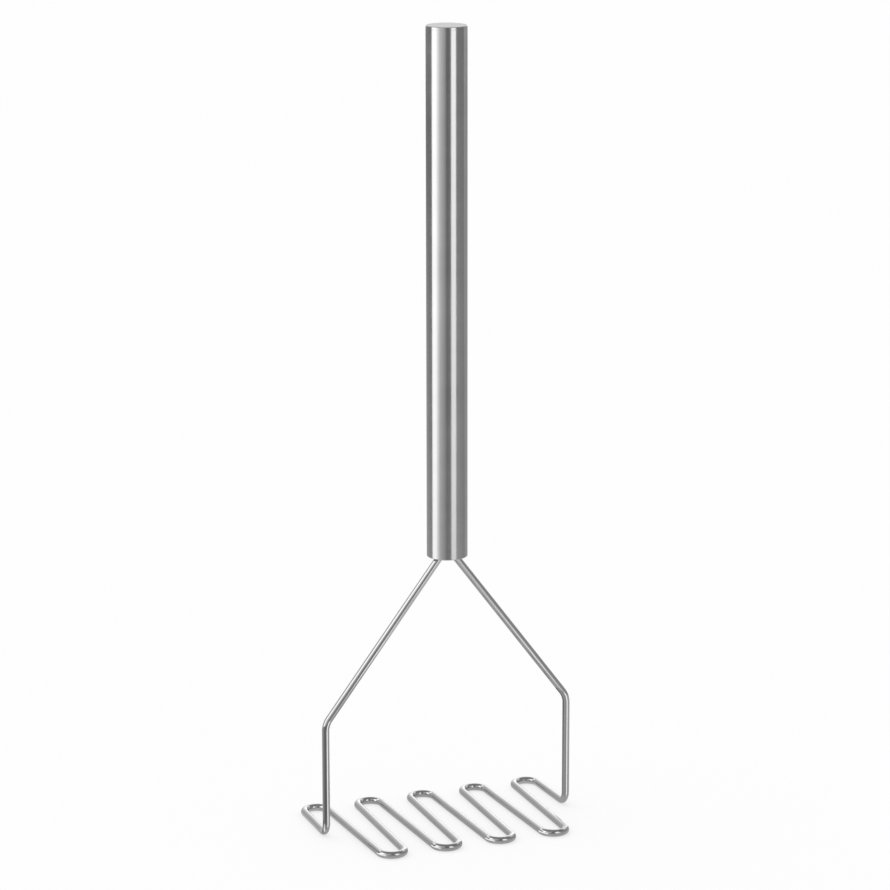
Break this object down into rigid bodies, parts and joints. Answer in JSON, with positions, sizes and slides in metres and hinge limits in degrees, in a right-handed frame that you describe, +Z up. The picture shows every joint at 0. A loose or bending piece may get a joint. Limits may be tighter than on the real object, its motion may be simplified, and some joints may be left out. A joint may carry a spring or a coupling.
{
  "type": "potato masher",
  "caption": "Long-handled potato masher: a closed round tube handle on a flat serpentine grid bent, with its legs and splay, from a single steel wire.",
  "frame": {"origin": "on the floor under the handle's axis, in the middle of the grid, with the masher standing on its grid", "axes": "+Z up the handle, +X from leg to leg, +Y towards the side of the grid with one turn more"},
  "size_m": [0.1976, 0.126, 0.5965],
  "materials": {
    "handle_steel": "satin polished stainless steel tube",
    "cap_steel": "ground and satin polished stainless steel sheet",
    "plate_steel": "rolled stainless steel sheet, left matt",
    "weld_steel": "stainless steel weld metal",
    "wire_steel": "bright drawn and electropolished stainless steel wire"
  },
  "bodies": {
    "root": {"handle_tube": "handle_steel", "top_cap": "cap_steel", "cap_weld": "weld_steel", "rod_plate": "plate_steel", "plate_weld": "weld_steel", "rod_weld": "weld_steel", "masher_wire": "wire_steel"}
  },
  "joints": []
}
